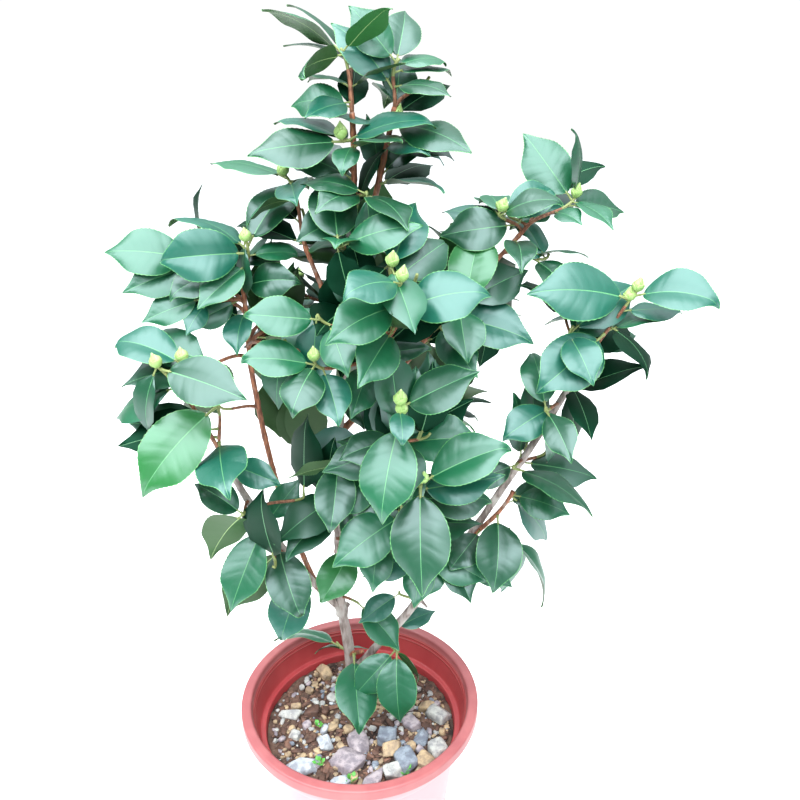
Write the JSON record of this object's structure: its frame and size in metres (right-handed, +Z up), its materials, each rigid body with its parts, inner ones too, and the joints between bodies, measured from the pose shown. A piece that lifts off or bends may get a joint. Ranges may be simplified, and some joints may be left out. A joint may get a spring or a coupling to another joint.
{
  "type": "potted camellia shrub",
  "caption": "Glossy-leaved camellia shrub with a low-forking trunk, bare lower boughs and a tall leader, planted in a round tapered terracotta-coloured plastic pot topped with gravel.",
  "frame": {"origin": "middle of the pot's flat underside", "axes": "+Z up the plant, +X to the right and +Y away from someone who faces the plant's front"},
  "size_m": [0.4576, 0.2751, 0.7736],
  "materials": {
    "pot": "satin terracotta-coloured moulded plastic",
    "potting_mix": "damp brown potting mix with pale grey and tan gravel on top",
    "old_bark": "grey-brown bark, finely ridged, with pale patches",
    "young_bark": "smooth reddish-brown young bark with leaf scars",
    "leaves": "glossy deep green leaves with paler midrib and margin"
  },
  "bodies": {
    "root": {"pot": "pot", "pot_collar": "pot", "potting_mix": "potting_mix", "trunk": "old_bark", "bough_right": "old_bark", "leader": "old_bark", "bough_left": "old_bark", "bough_left_upper": "young_bark", "leader_top_left": "young_bark", "leader_top_right": "young_bark", "bough_shoulder_left": "young_bark", "bough_right_upper": "young_bark", "bough_right_shoulder": "young_bark", "bough_front_upper": "young_bark", "bough_front": "young_bark", "bough_front_low": "young_bark", "bough_skirt": "young_bark", "bough_left_low": "young_bark", "bough_right_low": "young_bark", "bough_back_left": "young_bark", "bough_back_right": "young_bark", "bough_back_upper": "young_bark", "leaves_top_left": "leaves", "leaves_top_right": "leaves", "leaves_spire_left": "leaves", "leaves_spire_right": "leaves", "leaves_spire_foot": "leaves", "leaves_shoulder_left": "leaves", "leaves_left_upper": "leaves", "leaves_left_outer": "leaves", "leaves_left_middle": "leaves", "leaves_left_inner": "leaves", "leaves_middle_upper": "leaves", "leaves_front_upper": "leaves", "leaves_front": "leaves", "leaves_front_low": "leaves", "leaves_middle_left": "leaves", "leaves_right_inner": "leaves", "leaves_right_upper": "leaves", "leaves_right_shoulder": "leaves", "leaves_right_outer": "leaves", "leaves_right_middle": "leaves", "leaves_right_low": "leaves", "leaves_right_skirt": "leaves", "leaves_left_low": "leaves", "leaves_skirt": "leaves", "leaves_foot": "leaves", "leaves_back_upper": "leaves", "leaves_back_left": "leaves", "leaves_back_right": "leaves", "leaves_back_middle": "leaves", "leaves_back_low_left": "leaves", "leaves_back_low_right": "leaves"}
  },
  "joints": []
}
